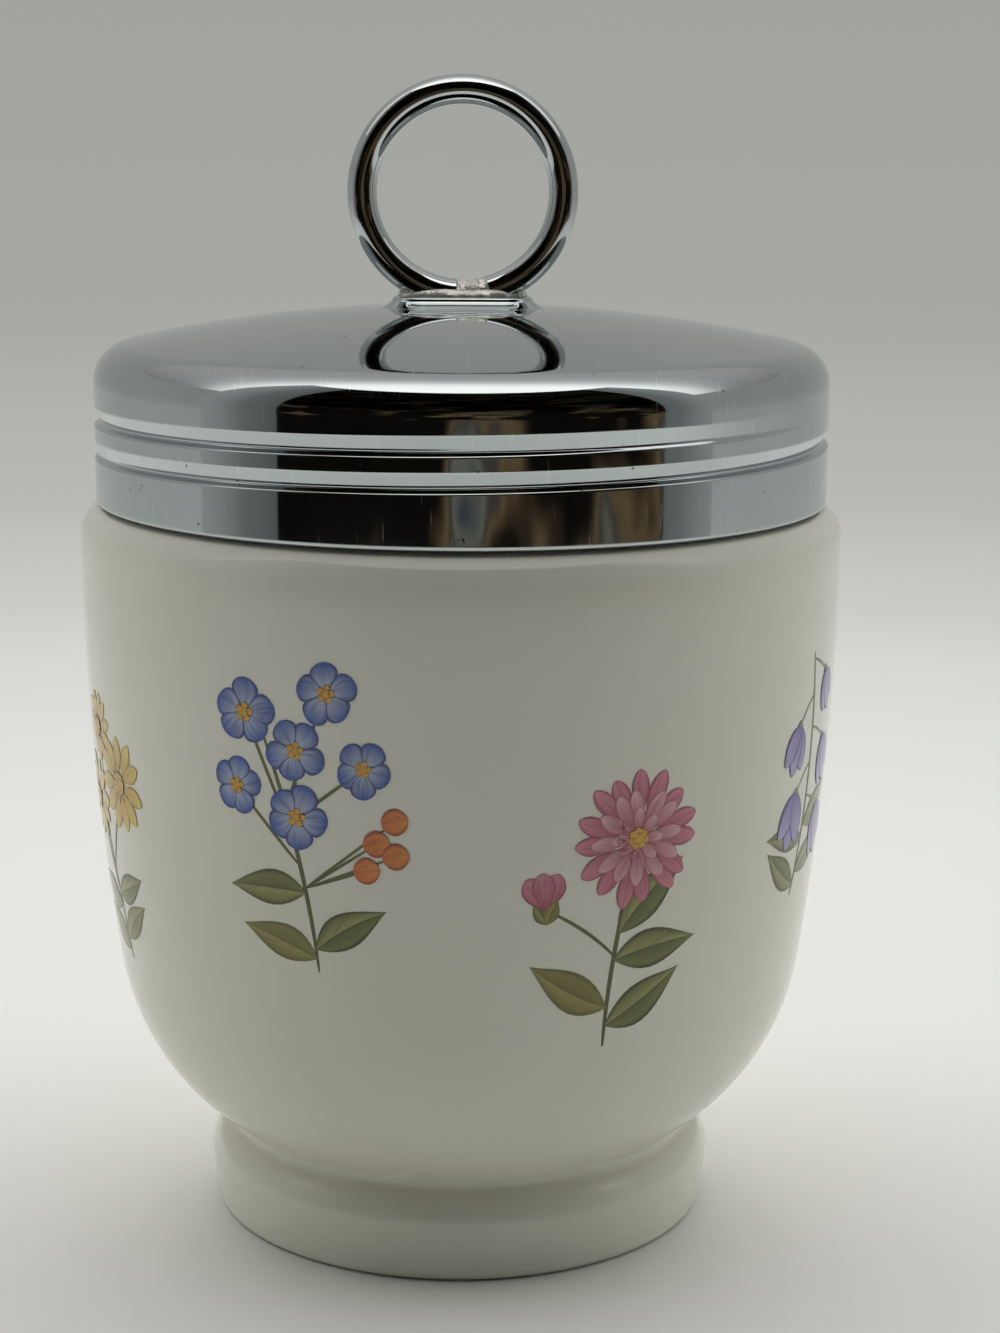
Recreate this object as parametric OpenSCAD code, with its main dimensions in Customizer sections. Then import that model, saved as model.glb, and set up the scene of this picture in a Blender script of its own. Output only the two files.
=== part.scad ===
// Porcelain egg coddler: a footed porcelain cup with a thread moulded on its neck,
// closed by a pressed metal screw lid that carries a finger ring.
// Millimetres, +Z up. The origin is the centre of the foot's flat face.
// The finger ring stands in the XZ plane.

/* [Cup] */
// Outside diameter of the cup at its widest, close under the lid
cup_d = 67.8; // [64:0.1:74]
// Height of the cup from the table to its rim
cup_h = 77.6; // [72:0.2:86]
// Height of the neck, from the shoulder ledge to the rim
neck_h = 12.3; // [11.4:0.1:14]
// Radius that rounds the shoulder over into the ledge
shoulder_round = 2.6; // [1.5:0.1:3]
// Radius of the long curve down the side
side_round = 270; // [200:5:400]
// Radius of the curve that carries the side in under the belly
belly_round = 22; // [20:0.25:24]
// Height at which the belly curve starts
belly_z = 24.2; // [23.2:0.1:26]
// Thickness of the body wall
wall = 4; // [3:0.1:5]
// Thickness of the neck wall, without its thread
neck_wall = 3.2; // [2.6:0.1:3.8]

/* [Foot] */
// Outside diameter of the foot at its widest
foot_d = 46.2; // [45.4:0.1:48]
// Diameter at the bottom of the crease between foot and belly
crease_d = 42.4; // [42:0.1:43]
// Radius that fills the crease
crease_round = 0.8; // [0.5:0.1:1]
// How much the foot's side draws in towards the table, on the radius
foot_draft = 0.5; // [0:0.05:0.8]
// Radius of the foot's lower outside edge
foot_edge = 0.9; // [0.6:0.1:1.4]
// Radius that rounds the foot's top edge into the crease
foot_top_round = 3.2; // [2.6:0.1:3.6]
// Width of the foot ring at the table, without its rounded edges
foot_ring_w = 3; // [2:0.1:4]
// Depth of the recess under the foot
recess_h = 4.2; // [3:0.1:4.6]

/* [Lid] */
// How far the lid's skirt stands in from the cup's widest diameter, on the radius
lid_setback = 1.4; // [1:0.1:2.5]
// Thickness of the lid's metal sheet
sheet = 0.5; // [0.4:0.05:0.6]
// Radius of the lid's top edge
edge_round = 3.4; // [2.6:0.1:4]
// How much the lid's dome rises from its edge to its crown
dome_rise = 3; // [2:0.1:4.5]
// Clearance between the cup's rim and the underside of the lid
rim_gap = 1.2; // [0.9:0.1:2]
// Clearance between the shoulder ledge and the lid's lip
lip_gap = 0.35; // [0.3:0.05:0.8]
// Height of the curled lip at the bottom of the skirt
lip_h = 0.9; // [0.7:0.05:1.2]
// How far the curled lip stands proud of the skirt
lip_proud = 0.2; // [0.1:0.05:0.3]

/* [Thread] */
// Rise of the thread in one turn
pitch = 2.9; // [2.7:0.05:3.3]
// Depth of the groove that is rolled into the skirt
groove_depth = 0.8; // [0.6:0.05:0.9]
// Height of the groove's long upper flank
flank_h = 1.25; // [1:0.05:1.4]
// Height of the groove's flat root
root_h = 0.15; // [0.1:0.05:0.25]
// Height of the groove's short lower flank
step_h = 0.45; // [0.35:0.05:0.55]
// Height of the groove above the ledge, at the front of the lower turn
groove_z = 6.7; // [6.4:0.1:7]
// Length of the rolled groove in turns
groove_turns = 1.45; // [1.2:0.05:1.6]
// Angle round the lid at which the groove starts, with the front at 270
groove_start = 150; // [120:5:200]
// Length of the porcelain thread in turns
ridge_turns = 1.25; // [1:0.05:1.3]
// Angle at which the porcelain thread starts, counted on from the groove's own turns
ridge_start = 420; // [400:5:440]
// Clearance between the flanks of the two threads
thread_gap = 0.28; // [0.24:0.01:0.32]
// Clearance between the crest of the porcelain thread and the skirt
crest_gap = 0.4; // [0.35:0.01:0.45]
// Clearance between the crest of the skirt's ridge and the porcelain neck
root_gap = 0.35; // [0.3:0.05:0.5]

/* [Finger ring] */
// Outside diameter of the finger ring
ring_d = 20.3; // [18:0.1:24]
// Diameter of the ring's wire
wire_d = 2.6; // [2.2:0.1:3]
// How deep the ring's wire is sunk below the top of its pad
ring_sink = 1.1; // [0.9:0.05:1.2]
// Height of the flat that is filed on the wire where it seats
ring_flat = 0.6; // [0.5:0.05:0.65]
// Length of the gap between the wire's two ends, along the wire
ring_gap = 2.6; // [1.5:0.1:4]
// How far the middle of that gap lies to the right of the ring's lowest point
ring_gap_x = 0.9; // [0:0.1:2]
// How far the brazing metal reaches out round the wire
braze_w = 0.45; // [0.3:0.05:0.7]
// Height of the brazing metal above the pad
braze_h = 0.55; // [0.3:0.05:0.8]

/* [Pad] */
// Length of the flat top of the pad that is pressed up under the ring
pad_l = 12.4; // [11:0.1:14]
// Width of the flat top of the pad
pad_w = 5.2; // [4.6:0.1:7]
// Height of the pad above the crown of the dome
pad_h = 0.85; // [0.75:0.05:1.3]
// Reach of the hollow flare between the pad and the dome
pad_flare = 1.5; // [1:0.1:2]
// Length of the hollow pressed up under the pad
press_l = 9.6; // [8:0.1:10.5]
// Width of the hollow pressed up under the pad
press_w = 2.6; // [2:0.1:4]

/* [Hidden] */

// Smoothness of the revolved forms, of the small round forms and of the swept threads
round_fn = 144;
pad_fn = 72;
hollow_fn = 48;
ring_fn = 96;
wire_fn = 36;
turn_step = 5;
arc_step = 9;
arc_least = 4;

// Heights and radii that the pieces share
ledge_z = cup_h - neck_h;
cup_r = cup_d / 2;
lid_r = cup_r - lid_setback;
lid_bore_r = lid_r - sheet;
ridge_crest_r = lid_bore_r - crest_gap;
neck_r = lid_bore_r - groove_depth - root_gap;
mouth_r = neck_r - neck_wall;
widest_z = ledge_z - shoulder_round;

// Centre of the side curve, and where the belly curve takes over from it
side_cr = cup_r - side_round;
side_a = asin((widest_z - belly_z) / side_round);
belly_join_r = side_cr + side_round * cos(side_a);
belly_cr = belly_join_r - belly_round * cos(side_a);
belly_cz = belly_z + belly_round * sin(side_a);

// The crease between belly and foot is filled by an arc that touches them both
crease_cr = crease_d / 2 + crease_round;
crease_a = acos((crease_cr - belly_cr) / (belly_round + crease_round));
crease_cz = belly_cz - (belly_round + crease_round) * sin(crease_a);

// Foot
foot_r = foot_d / 2;
foot_low_r = foot_r - foot_draft;
foot_in_r = foot_low_r - foot_edge * 2 - foot_ring_w;
foot_top_cr = foot_r - foot_top_round;
foot_top_turn = acos((crease_cr - foot_top_cr) / (foot_top_round + crease_round));
foot_top_z = crease_cz - (foot_top_round + crease_round) * sin(foot_top_turn);
floor_z = belly_cz - belly_round + wall;
recess_round = 1.5;

// Inside of the cup: the mouth widens into the body through a soft throat
throat_up = 2.5;
throat_down = 5;
bore_side_r = side_round - wall;
bore_belly_r = belly_round - wall;
bore_top_r = side_cr + bore_side_r;
throat_z = ledge_z + throat_up;
throat_low_z = widest_z - throat_down;
throat_a = asin((widest_z - throat_low_z) / bore_side_r);
throat_low_r = side_cr + bore_side_r * cos(throat_a);
rim_out = 1.5;
rim_in = 1.1;
neck_fillet = 0.6;

// Lid: the dome is a cap of a sphere that runs tangent into the edge's arc
lip_z = ledge_z + lip_gap;
skirt_z = lip_z + lip_h;
edge_cr = lid_r - edge_round;
dome_r = (edge_cr * edge_cr + dome_rise * dome_rise) / (2 * dome_rise);
dome_a = asin(edge_cr / (dome_r - edge_round));
dome_edge_z = cup_h + rim_gap + sheet;
edge_cz = dome_edge_z - edge_round;
dome_cz = edge_cz - (dome_r - edge_round) * cos(dome_a);
crown_z = dome_cz + dome_r;

// Threads: the groove's upper corner climbs with the angle
function groove_at(a) = ledge_z + groove_z + pitch * (a - 270) / 360;
groove_h = flank_h + root_h + step_h;
sheet_up = 0.1;
sheet_down = 0.35;
crest_down = 0.25;
thread_fade = 40;
clear_of_wall = 0.06;
at_wall = 0.001;
groove_over = 0.3;
groove_out = 0.5;

// The porcelain ridge lies between two turns of the lid's inner ridge, thread_gap from
// the flank above it and from the flank below it, measured square to each flank
crest_share = crest_gap / groove_depth;
step_run = step_h + sheet_down - crest_down;
lid_low_at_crest = -(groove_h + sheet_down) + crest_share * step_run;
lid_top_at_crest = sheet_up - crest_share * flank_h - pitch;
ridge_top = lid_low_at_crest - thread_gap * norm([groove_depth, step_run]) / groove_depth;
ridge_low = lid_top_at_crest + thread_gap * norm([groove_depth, flank_h]) / groove_depth;
ridge_rise = ridge_crest_r - neck_r;
ridge_root = 0.5;
ridge_foot_low = ridge_low - 0.8 * ridge_rise;
ridge_foot_top = ridge_top + 0.56 * ridge_rise;

// Finger ring and pad
pad_z = crown_z + pad_h;
ring_cz = pad_z - ring_sink + ring_d / 2;
wire_r = wire_d / 2;
ring_cr = ring_d / 2 - wire_r;
seat_z = pad_z - ring_flat;
gap_a = 360 * ring_gap / (2 * PI * ring_cr);
gap_mid_a = asin(ring_gap_x / ring_cr);
pad_base_z = crown_z - sheet;
pad_edge_z = crown_z - sheet / 2;
flare_steps = 6;
press_low_z = crown_z - 3 * sheet;
press_top_z = seat_z - sheet;
hollow_h = press_top_z - press_low_z;
braze_span = 68;
braze_bite = 3;
braze_sink = 0.08;
braze_top_z = pad_z + braze_h;

// Curled lip: the bead's own radius, and the part of its circle that shows
bead_r = lip_h / 2;
bead_from = -80;
bead_to = 50;

// Points of an arc about [cr, cz], from angle a0 to angle a1, ends included
function arc(cr, cz, r, a0, a1) =
    let (n = max(arc_least, ceil(abs(a1 - a0) / arc_step)))
    [for (i = [0:n]) let (a = a0 + (a1 - a0) * i / n) [cr + r * cos(a), cz + r * sin(a)]];

// The same points without the first, where the line before already ends on it
function after(points) = [for (i = [1:len(points) - 1]) points[i]];

// Points of a soft S from [r0, z0] up to [r1, z1]
function ess(r0, z0, r1, z1, n = 8) =
    [for (i = [1:n]) let (t = i / n) [r0 + (r1 - r0) * t * t * (3 - 2 * t), z0 + (z1 - z0) * t]];

// 0 at both ends of a thread, 1 once it has faded in
function fade(a, length) =
    let (t = min(1, min(a, length - a) / thread_fade)) t * t * (3 - 2 * t);

// A bar swept along the thread. Its section is a list of [depth, z]: the radius is
// base + side * depth, and depth fades to "ends" at both ends of the sweep.
module thread_bar(section, base, side, ends, start, turns) {
    length = 360 * turns;
    steps = ceil(length / turn_step);
    count = len(section);
    points = [
        for (i = [0:steps])
            let (a = length * i / steps, f = fade(a, length), z0 = groove_at(start + a))
            for (p = section)
                let (r = base + side * (p[0] > 0 ? ends + (p[0] - ends) * f : p[0]))
                [r * cos(start + a), r * sin(start + a), z0 + p[1]]
    ];
    walls = [
        for (i = [0:steps - 1])
            for (j = [0:count - 1])
                let (k = (j + 1) % count, low = i * count, high = low + count)
                for (face = [[low + j, high + j, high + k], [low + j, high + k, low + k]])
                    face
    ];
    caps = [[for (j = [0:count - 1]) j], [for (j = [count - 1:-1:0]) steps * count + j]];
    polyhedron(points, concat(walls, caps), convexity = 6);
}

// The cup's outside, from the table up to the rim, and its inside back down
function cup_outline() = concat(
    [[0, recess_h]],
    arc(foot_in_r - recess_round, recess_h - recess_round, recess_round, 90, 0),
    arc(foot_in_r + foot_edge, foot_edge, foot_edge, 180, 270),
    arc(foot_low_r - foot_edge, foot_edge, foot_edge, -90, 0),
    arc(foot_top_cr, foot_top_z, foot_top_round, 0, foot_top_turn),
    after(arc(crease_cr, crease_cz, crease_round, 180 + foot_top_turn, 180 - crease_a)),
    after(arc(belly_cr, belly_cz, belly_round, -crease_a, -side_a)),
    after(arc(side_cr, widest_z, side_round, -side_a, 0)),
    after(arc(cup_r - shoulder_round, widest_z, shoulder_round, 0, 90)),
    arc(neck_r + neck_fillet, ledge_z + neck_fillet, neck_fillet, 270, 180),
    arc(neck_r - rim_out, cup_h - rim_out, rim_out, 0, 90),
    arc(mouth_r + rim_in, cup_h - rim_in, rim_in, 90, 180),
    [[mouth_r, throat_z]],
    ess(mouth_r, throat_z, throat_low_r, throat_low_z),
    after(arc(side_cr, widest_z, bore_side_r, -throat_a, -side_a)),
    after(arc(belly_cr, belly_cz, bore_belly_r, -side_a, -90)),
    [[0, floor_z]]
);

module cup() {
    color("ivory") union() {
        rotate_extrude($fn = round_fn) polygon(cup_outline());
        moulded_thread();
    }
}

// The thread on the porcelain neck, rooted in the neck's wall
module moulded_thread() {
    section = [
        [-ridge_root, ridge_foot_low],
        [-ridge_root, ridge_foot_top],
        [clear_of_wall, ridge_foot_top],
        [ridge_rise, ridge_top],
        [ridge_rise, ridge_low],
        [clear_of_wall, ridge_foot_low]
    ];
    thread_bar(section, neck_r, 1, -clear_of_wall, ridge_start, ridge_turns);
}

module lid_cap() {
    color("silver") difference() {
        union() {
            lid_shell();
            rolled_ridge();
            pad();
        }
        rolled_groove();
        pressed_hollow();
        ring_wire();
    }
}

// Dome, rounded edge and plain skirt, in one thickness of sheet
module lid_shell() {
    rotate_extrude($fn = round_fn) polygon(concat(
        arc(0, dome_cz, dome_r, 90, 90 - dome_a),
        after(arc(edge_cr, edge_cz, edge_round, 90 - dome_a, 0)),
        [[lid_r, skirt_z], [lid_bore_r, skirt_z]],
        arc(edge_cr, edge_cz, edge_round - sheet, 0, 90 - dome_a),
        after(arc(0, dome_cz, dome_r - sheet, 90 - dome_a, 90))
    ));
}

// The groove that is rolled into the outside of the skirt
module rolled_groove() {
    section = [
        [-groove_out, -groove_h - groove_over],
        [at_wall, -groove_h],
        [groove_depth, -flank_h - root_h],
        [groove_depth, -flank_h],
        [at_wall, 0],
        [-groove_out, groove_over]
    ];
    thread_bar(section, lid_r, -1, -clear_of_wall, groove_start, groove_turns);
}

// The ridge that the same groove raises on the inside of the skirt
module rolled_ridge() {
    section = [
        [-sheet / 2, -groove_h - sheet_down],
        [at_wall, -groove_h - sheet_down],
        [groove_depth, -flank_h - root_h - crest_down],
        [groove_depth, sheet_up - flank_h],
        [at_wall, sheet_up],
        [-sheet / 2, sheet_up]
    ];
    thread_bar(section, lid_bore_r, -1, -clear_of_wall, groove_start, groove_turns);
}

// Half of the pad's section: flat top, then a hollow flare down to the dome
function pad_half() = concat(
    [[0, pad_base_z], [0, pad_z], [pad_w / 2, pad_z]],
    [for (i = [1:flare_steps]) let (t = i / flare_steps)
        [pad_w / 2 + pad_flare * t, pad_z - (pad_z - pad_edge_z) * (1 - (1 - t) * (1 - t))]],
    [[pad_w / 2 + pad_flare, pad_base_z]]
);

module pad() {
    straight = pad_l - pad_w;
    for (side = [-1, 1])
        translate([side * straight / 2, 0, 0])
            rotate([0, 0, side > 0 ? -90 : 90])
                rotate_extrude(angle = 180, $fn = pad_fn) polygon(pad_half());
    for (side = [0, 1])
        mirror([0, side, 0])
            translate([-straight / 2, 0, 0])
                rotate([90, 0, 90])
                    linear_extrude(straight) polygon(pad_half());
}

// The hollow that pressing leaves under the pad
module pressed_hollow() {
    straight = press_l - press_w;
    translate([0, 0, press_low_z]) {
        for (side = [-1, 1])
            translate([side * straight / 2, 0, 0])
                cylinder(h = hollow_h, d = press_w, $fn = hollow_fn);
        translate([-straight / 2, -press_w / 2, 0]) cube([straight, press_w, hollow_h]);
    }
}

// The edge of the sheet, curled up under the skirt
module lid_lip() {
    color("gainsboro") rotate_extrude($fn = round_fn) polygon(concat(
        [[lid_bore_r, skirt_z], [lid_bore_r, lip_z + sheet / 2]],
        after(arc(lid_bore_r + sheet / 2, lip_z + sheet / 2, sheet / 2, 180, 270)),
        arc(lid_r + lip_proud - bead_r, lip_z + bead_r, bead_r, bead_from, bead_to),
        [[lid_r, skirt_z]]
    ));
}

// The ring's wire as one open hoop with a flat filed on its underside
module ring_wire() {
    intersection() {
        ring_arc(wire_r, gap_mid_a + gap_a / 2 - 90, 360 - gap_a);
        translate([0, 0, seat_z + ring_d])
            cube([2 * ring_d, 2 * wire_d, 2 * ring_d], center = true);
    }
}

// A stretch of round bar bent to the ring's own radius, in the XZ plane
module ring_arc(r, from_a, length_a) {
    translate([0, 0, ring_cz])
        rotate([90, 0, 0])
            rotate([0, 0, from_a])
                rotate_extrude(angle = length_a, $fn = ring_fn)
                    translate([ring_cr, 0]) circle(r = r, $fn = wire_fn);
}

module finger_ring() {
    color("lightgray") ring_wire();
}

// Brazing metal on the pad: it fills the gap between the wire's ends, a little below the
// wire's own surface, and creeps up round the wire
module ring_braze() {
    filled_a = gap_a + 2 * braze_bite;
    color("darkgray") difference() {
        union() {
            intersection() {
                ring_arc(wire_r + braze_w, -90 - braze_span / 2, braze_span);
                translate([0, 0, (pad_z + braze_top_z) / 2])
                    cube([ring_d, 3 * wire_d, braze_h], center = true);
            }
            intersection() {
                ring_arc(wire_r - braze_sink, gap_mid_a - filled_a / 2 - 90, filled_a);
                translate([0, 0, pad_z + ring_d])
                    cube([2 * ring_d, 2 * wire_d, 2 * ring_d], center = true);
            }
        }
        ring_wire();
    }
}

cup();
lid_cap();
lid_lip();
finger_ring();
ring_braze();
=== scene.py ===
"""Porcelain egg coddler: the cup, its screw lid and finger ring, dressed round their solids."""
import math
import random

import bmesh
import bpy
import numpy as np
from mathutils import Matrix, Vector, noise


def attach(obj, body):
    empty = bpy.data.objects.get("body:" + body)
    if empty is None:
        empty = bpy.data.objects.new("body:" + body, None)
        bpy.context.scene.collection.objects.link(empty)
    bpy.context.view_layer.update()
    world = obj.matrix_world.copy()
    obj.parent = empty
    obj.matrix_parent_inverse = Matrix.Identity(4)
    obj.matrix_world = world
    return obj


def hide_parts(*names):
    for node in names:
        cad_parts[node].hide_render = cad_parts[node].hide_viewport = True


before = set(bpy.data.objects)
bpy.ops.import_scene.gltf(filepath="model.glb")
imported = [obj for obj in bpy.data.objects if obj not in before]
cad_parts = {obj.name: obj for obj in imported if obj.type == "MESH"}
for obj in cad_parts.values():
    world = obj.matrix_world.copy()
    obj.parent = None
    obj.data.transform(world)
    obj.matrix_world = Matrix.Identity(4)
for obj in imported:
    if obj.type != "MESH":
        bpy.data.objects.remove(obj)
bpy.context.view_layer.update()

MM = 0.001

# ---- Sizes of the real pieces, in millimetres and degrees, as the solids have them ----
# Only LIP_Z and the groove on the outside of the lid differ: they follow the photograph.
CUP_R = 33.9
CUP_H = 77.6
LEDGE_Z = 65.3
SHOULDER_ROUND = 2.6
WIDEST_Z = LEDGE_Z - SHOULDER_ROUND
SIDE_ROUND = 270.0
BELLY_ROUND = 22.0
BELLY_Z = 24.2
WALL = 4.0
CREASE_R = 21.2
CREASE_ROUND = 0.8
FOOT_R = 23.1
FOOT_LOW_R = 22.6
FOOT_EDGE = 0.9
FOOT_TOP_ROUND = 3.2
FOOT_IN_R = 17.8
RECESS_H = 4.2
RECESS_ROUND = 1.5
NECK_R = 30.85
NECK_FILLET = 0.6
MOUTH_R = 27.65
NECK_RIDGE_START = 420  # a turn past 360 lies on a later lap
NECK_RIDGE_TURNS = 1.25
RIM_OUT_ROUND = 1.5
RIM_IN_ROUND = 1.1
THROAT_UP = 2.5
THROAT_DOWN = 5.0
LID_R = 32.5
SHEET = 0.5
EDGE_ROUND = 3.4
EDGE_TOP_Z = 79.3
DOME_RISE = 3.0
LIP_Z = 65.5
SKIRT_Z = 66.55
PITCH = 2.9
GROOVE_DEPTH = 0.8
GROOVE_START = 150
GROOVE_TURNS = 1.45
FRONT = 270.0  # the viewer's side
FRONT_GROOVE_Z = 72.0
RING_R = 8.85
WIRE_R = 1.3
RING_SINK = 1.1
RING_FLAT = 0.6
WIRE_GAP = 2.6
GAP_ASIDE = 0.9
PAD_L = 12.4
PAD_W = 5.2
PAD_H = 0.85
PAD_FLARE = 1.5
HOLLOW_L = 9.6
HOLLOW_W = 2.6
HOLLOW_FLARE = 0.6

# Sections of the thread: points of (height above the groove's upper corner, depth or height of it).
NECK_RIDGE = [(-3.6, 0), (-3.506, 0), (-2.906, 0.75), (-2.265, 0.75), (-1.845, 0)]
OUTER_GROOVE = [(-1.95, 0), (-1.66, 0.56), (-1.55, 0.56), (-0.35, 0)]
INNER_RIDGE = [(-2.2, 0), (-1.65, GROOVE_DEPTH), (-1.15, GROOVE_DEPTH), (0.1, 0)]
THREAD_FADE = 40.0
OUTER_GROOVE_FADE = 75.0
OUTER_GROOVE_RUN_ON = 0.06

SIDE_CR = CUP_R - SIDE_ROUND
SIDE_A = math.degrees(math.asin((WIDEST_Z - BELLY_Z) / SIDE_ROUND))
BELLY_CR = SIDE_CR + (SIDE_ROUND - BELLY_ROUND) * math.cos(math.radians(SIDE_A))
BELLY_CZ = BELLY_Z + BELLY_ROUND * math.sin(math.radians(SIDE_A))
CREASE_CR = CREASE_R + CREASE_ROUND
CREASE_A = math.degrees(math.acos((CREASE_CR - BELLY_CR) / (BELLY_ROUND + CREASE_ROUND)))
CREASE_CZ = BELLY_CZ - (BELLY_ROUND + CREASE_ROUND) * math.sin(math.radians(CREASE_A))
FOOT_TOP_CR = FOOT_R - FOOT_TOP_ROUND
FOOT_TOP_TURN = math.degrees(math.acos((CREASE_CR - FOOT_TOP_CR) / (FOOT_TOP_ROUND + CREASE_ROUND)))
FOOT_TOP_Z = CREASE_CZ - (FOOT_TOP_ROUND + CREASE_ROUND) * math.sin(math.radians(FOOT_TOP_TURN))
EDGE_CR = LID_R - EDGE_ROUND
DOME_R = (EDGE_CR ** 2 + DOME_RISE ** 2) / (2 * DOME_RISE)
DOME_A = math.degrees(math.asin(EDGE_CR / (DOME_R - EDGE_ROUND)))
EDGE_CZ = EDGE_TOP_Z - EDGE_ROUND
DOME_CZ = EDGE_CZ - (DOME_R - EDGE_ROUND) * math.cos(math.radians(DOME_A))
CROWN_Z = DOME_CZ + DOME_R
PAD_Z = CROWN_Z + PAD_H
RING_CZ = PAD_Z - RING_SINK + RING_R + WIRE_R

COLUMNS = 256
SHARP = math.radians(40)
MESH_WELD = 1e-6
STROKE_WELD = 2e-7


# ---- Profiles and rows of a turned form ----
def arc(radius_at, height_at, radius, start, end, step=4.0):
    """Points of an arc from angle start to angle end, both included."""
    count = max(4, math.ceil(abs(end - start) / step))
    angles = [math.radians(start + (end - start) * i / count) for i in range(count + 1)]
    return [(radius_at + radius * math.cos(a), height_at + radius * math.sin(a)) for a in angles]


def line(start, end, count):
    """Points from start to end, both included."""
    return [(start[0] + (end[0] - start[0]) * i / count, start[1] + (end[1] - start[1]) * i / count)
            for i in range(count + 1)]


def eased(t):
    """A share from 0 to 1 that starts and ends gently."""
    return t * t * (3 - 2 * t)


TURN = np.linspace(0.0, 360.0, COLUMNS + 1)
TURN_COS = np.cos(np.radians(TURN))
TURN_SIN = np.sin(np.radians(TURN))


def rows_of(profile):
    """One row, a circle, for each point of a profile."""
    return [np.stack([r * TURN_COS, r * TURN_SIN, np.full_like(TURN, z)], 1) for r, z in profile]


def softened(corners, reach):
    """A broken line of (place, depth) corners as a function with rounded corners."""
    places, depths = zip(*corners)
    shifts = np.linspace(-reach, reach, 9)

    def depth_at(place):
        return float(np.interp(place + shifts, places, depths).mean())
    return depth_at


def thread_rows(wall_r, side, depth_at, knots, low, high, start, turns, fade=THREAD_FADE):
    """Rows that climb with the thread, from height low to height high."""
    length = 360.0 * turns
    rows = []
    for lap in range(-4, 6):
        angle = TURN + 360.0 * lap
        upper_corner = FRONT_GROOVE_Z + PITCH * (angle - FRONT) / 360.0
        strength = eased(np.clip(np.minimum(angle - start, start + length - angle) / fade, 0, 1))
        for knot in knots:
            height = np.clip(upper_corner + knot, low, high)
            if height.max() <= low or height.min() >= high:
                continue
            radius = wall_r + side * depth_at(knot) * strength
            rows.append(np.stack([radius * TURN_COS, radius * TURN_SIN, height], 1))
    return rows


def in_scene(name, data):
    """A new object, at the origin, linked to the scene."""
    made = bpy.data.objects.new(name, data)
    bpy.context.scene.collection.objects.link(made)
    return made


def quads(rows, across, ring=True, loop=False):
    """Four-sided faces over rows of points. A row may be a ring, and the rows may close in a loop."""
    faces = []
    for row in range(rows if loop else rows - 1):
        near, far = row * across, (row + 1) % rows * across
        for a in range(across if ring else across - 1):
            b = (a + 1) % across
            faces.append((near + a, near + b, far + b, far + a))
    return faces


def finish_mesh(name, points, faces):
    """A smooth piece from points and faces, welded, with its faces turned outwards."""
    mesh = bpy.data.meshes.new(name)
    mesh.from_pydata(points, [], faces)
    work = bmesh.new()
    work.from_mesh(mesh)
    bmesh.ops.remove_doubles(work, verts=work.verts, dist=MESH_WELD)
    bmesh.ops.dissolve_degenerate(work, edges=work.edges, dist=MESH_WELD / 10)
    bmesh.ops.recalc_face_normals(work, faces=work.faces)
    for face in work.faces:
        face.smooth = True
    work.to_mesh(mesh)
    work.free()
    return in_scene(name, mesh)


def skin(name, rows):
    """A closed smooth mesh over the rows, welded at its seam and its poles."""
    points = np.concatenate(rows) * MM
    return finish_mesh(name, points.tolist(), quads(len(rows), COLUMNS + 1, ring=False))


# ---- Node helpers, for materials and for geometry trees ----
def feed(tree, node, feeds):
    """Gives sockets of a node, by name or number, a value or another node's output."""
    for socket, value in feeds.items():
        if isinstance(value, bpy.types.NodeSocket):
            tree.links.new(value, node.inputs[socket])
        else:
            node.inputs[socket].default_value = value


def add(tree, kind, feeds=None, **settings):
    """A new node with its settings and its feeds."""
    node = tree.nodes.new(kind)
    for key, value in settings.items():
        setattr(node, key, value)
    feed(tree, node, feeds or {})
    return node


def output_of(tree, kind, feeds=None, **settings):
    """The first output of a new node."""
    return add(tree, kind, feeds, **settings).outputs[0]


def calc(tree, operation, *values):
    """Arithmetic on numbers or on the outputs of other nodes."""
    return output_of(tree, "ShaderNodeMath", dict(enumerate(values)), operation=operation)


def vector(tree, **parts):
    """A vector put together from numbers or outputs."""
    return output_of(tree, "ShaderNodeCombineXYZ", parts)


def group_tree(name, kind, inputs, outputs):
    """An empty tree with named sockets of these kinds: the tree, what it is given and its result."""
    tree = bpy.data.node_groups.new(name, kind)
    for way, sockets in (("INPUT", inputs), ("OUTPUT", outputs)):
        for label, socket in sockets.items():
            tree.interface.new_socket(name=label, in_out=way, socket_type="NodeSocket" + socket)
    return tree, tree.nodes.new("NodeGroupInput").outputs, tree.nodes.new("NodeGroupOutput").inputs


def shape_tree(name, sizes):
    """A geometry tree that works on a shape, with a named input for each size."""
    return group_tree(name, "GeometryNodeTree", {"Shape": "Geometry", **sizes}, {"Shape": "Geometry"})


def finish_shape(tree, shape, given, result):
    """The end of every geometry tree: smooth faces, instances made real, and the finish."""
    smooth = output_of(tree, "GeometryNodeSetShadeSmooth", {"Geometry": shape})
    real = output_of(tree, "GeometryNodeRealizeInstances", {"Geometry": smooth})
    finished = output_of(tree, "GeometryNodeSetMaterial", {"Geometry": real, "Material": given["Finish"]})
    tree.links.new(finished, result["Shape"])


def shaped(name, tree, start, sizes):
    """The plain mesh that a geometry tree makes from the start mesh, with these sizes."""
    maker = in_scene(name + "_maker", start)
    modifier = maker.modifiers.new("shape", "NODES")
    modifier.node_group = tree
    for item in tree.interface.items_tree:
        if item.in_out == "INPUT" and item.name in sizes:
            modifier[item.identifier] = sizes[item.name]
    graph = bpy.context.evaluated_depsgraph_get()
    mesh = bpy.data.meshes.new_from_object(
        maker.evaluated_get(graph), preserve_all_data_layers=True, depsgraph=graph)
    bpy.data.objects.remove(maker)
    mesh.name = name
    return in_scene(name, mesh)


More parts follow.
